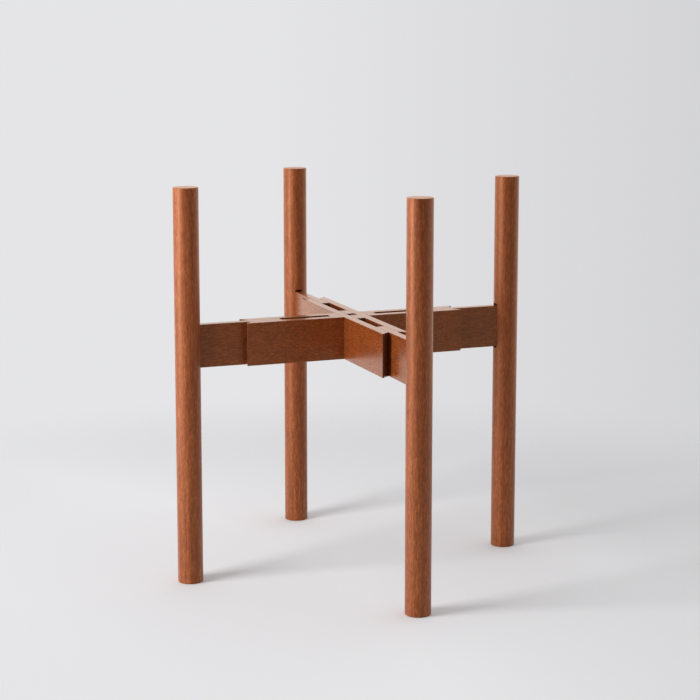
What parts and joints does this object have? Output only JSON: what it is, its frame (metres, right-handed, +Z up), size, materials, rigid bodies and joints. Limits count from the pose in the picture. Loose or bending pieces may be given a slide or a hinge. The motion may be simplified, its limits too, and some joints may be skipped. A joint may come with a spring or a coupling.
{
  "type": "plant stand",
  "caption": "Adjustable wooden plant stand: round dowel legs on rails that slide in a half-lapped cross, to close up on a small pot or draw out for a wide one.",
  "frame": {"origin": "on the floor under the middle of the cross, with the legs drawn out", "axes": "+Z up, one arm of the cross along X and the other along Y; -Y is the front"},
  "size_m": [0.3754, 0.3754, 0.4],
  "materials": {
    "dowel_wood": "reddish-brown sapele, turned, under a satin oil",
    "board_wood": "reddish-brown sapele, planed, under a satin oil",
    "key_wood": "bare beech, waxed to slide"
  },
  "bodies": {
    "cross": {"cross_x_front_cheek": "board_wood", "cross_x_back_cheek": "board_wood", "cross_y_left_cheek": "board_wood", "cross_y_right_cheek": "board_wood", "spacer_left": "board_wood", "spacer_right": "board_wood", "spacer_front": "board_wood", "spacer_back": "board_wood"},
    "left_leg": {"leg_left": "dowel_wood", "rail_left": "board_wood", "slide_key_left": "key_wood"},
    "right_leg": {"leg_right": "dowel_wood", "rail_right": "board_wood", "slide_key_right": "key_wood"},
    "front_leg": {"leg_front": "dowel_wood", "rail_front": "board_wood", "slide_key_front": "key_wood"},
    "back_leg": {"leg_back": "dowel_wood", "rail_back": "board_wood", "slide_key_back": "key_wood"}
  },
  "joints": [
    {"name": "left_slide", "type": "slide", "parent": "cross", "child": "left_leg", "axis": [1, 0, 0], "range_m": [0, 0.052]},
    {"name": "right_slide", "type": "slide", "parent": "cross", "child": "right_leg", "axis": [-1, 0, 0], "range_m": [0, 0.052]},
    {"name": "front_slide", "type": "slide", "parent": "cross", "child": "front_leg", "axis": [0, 1, 0], "range_m": [0, 0.052]},
    {"name": "back_slide", "type": "slide", "parent": "cross", "child": "back_leg", "axis": [0, -1, 0], "range_m": [0, 0.052]}
  ]
}
